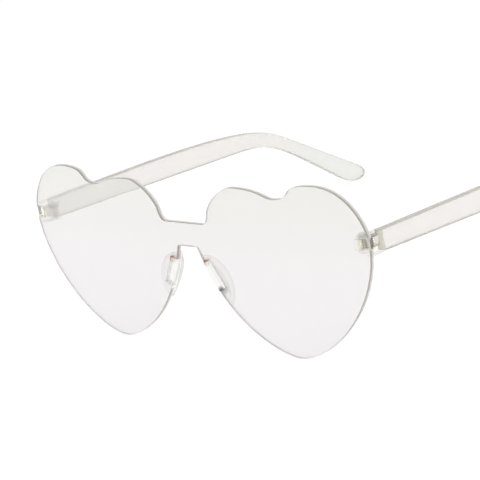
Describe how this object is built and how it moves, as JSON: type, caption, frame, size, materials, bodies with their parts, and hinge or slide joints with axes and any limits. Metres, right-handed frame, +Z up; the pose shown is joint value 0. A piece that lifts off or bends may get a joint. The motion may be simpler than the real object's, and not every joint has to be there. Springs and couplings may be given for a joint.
{
  "type": "heart shaped sunglasses",
  "caption": "Rimless heart shaped sunglasses with a clear curved sheet lens, folding milky clear temples on screw hinges, and moulded nose pads.",
  "frame": {"origin": "on the surface that the open glasses stand on, under the middle of their bounding box", "axes": "+Z up, -Y the way the wearer looks, +X to the wearer's left; the glasses mirror about X = 0"},
  "size_m": [0.1466, 0.1478, 0.0542],
  "materials": {
    "lens_sheet": "polished",
    "end_piece": "gloss",
    "temple": "gloss",
    "screw": "satin",
    "nose_pad": "gloss"
  },
  "bodies": {
    "front": {"lens": "lens_sheet", "left_end_piece": "end_piece", "right_end_piece": "end_piece", "left_hinge_screw": "screw", "right_hinge_screw": "screw", "left_nose_pad": "nose_pad", "right_nose_pad": "nose_pad"},
    "left_temple_arm": {"left_temple": "temple"},
    "right_temple_arm": {"right_temple": "temple"}
  },
  "joints": [
    {"name": "left_temple_fold", "type": "hinge", "parent": "front", "child": "left_temple_arm", "pos_m": [0.0678, -0.06527, 0.03669], "axis": [0, 0, 1], "range_deg": [0, 90]},
    {"name": "right_temple_fold", "type": "hinge", "parent": "front", "child": "right_temple_arm", "pos_m": [-0.0678, -0.06527, 0.03669], "axis": [0, 0, -1], "range_deg": [0, 85.5]}
  ]
}
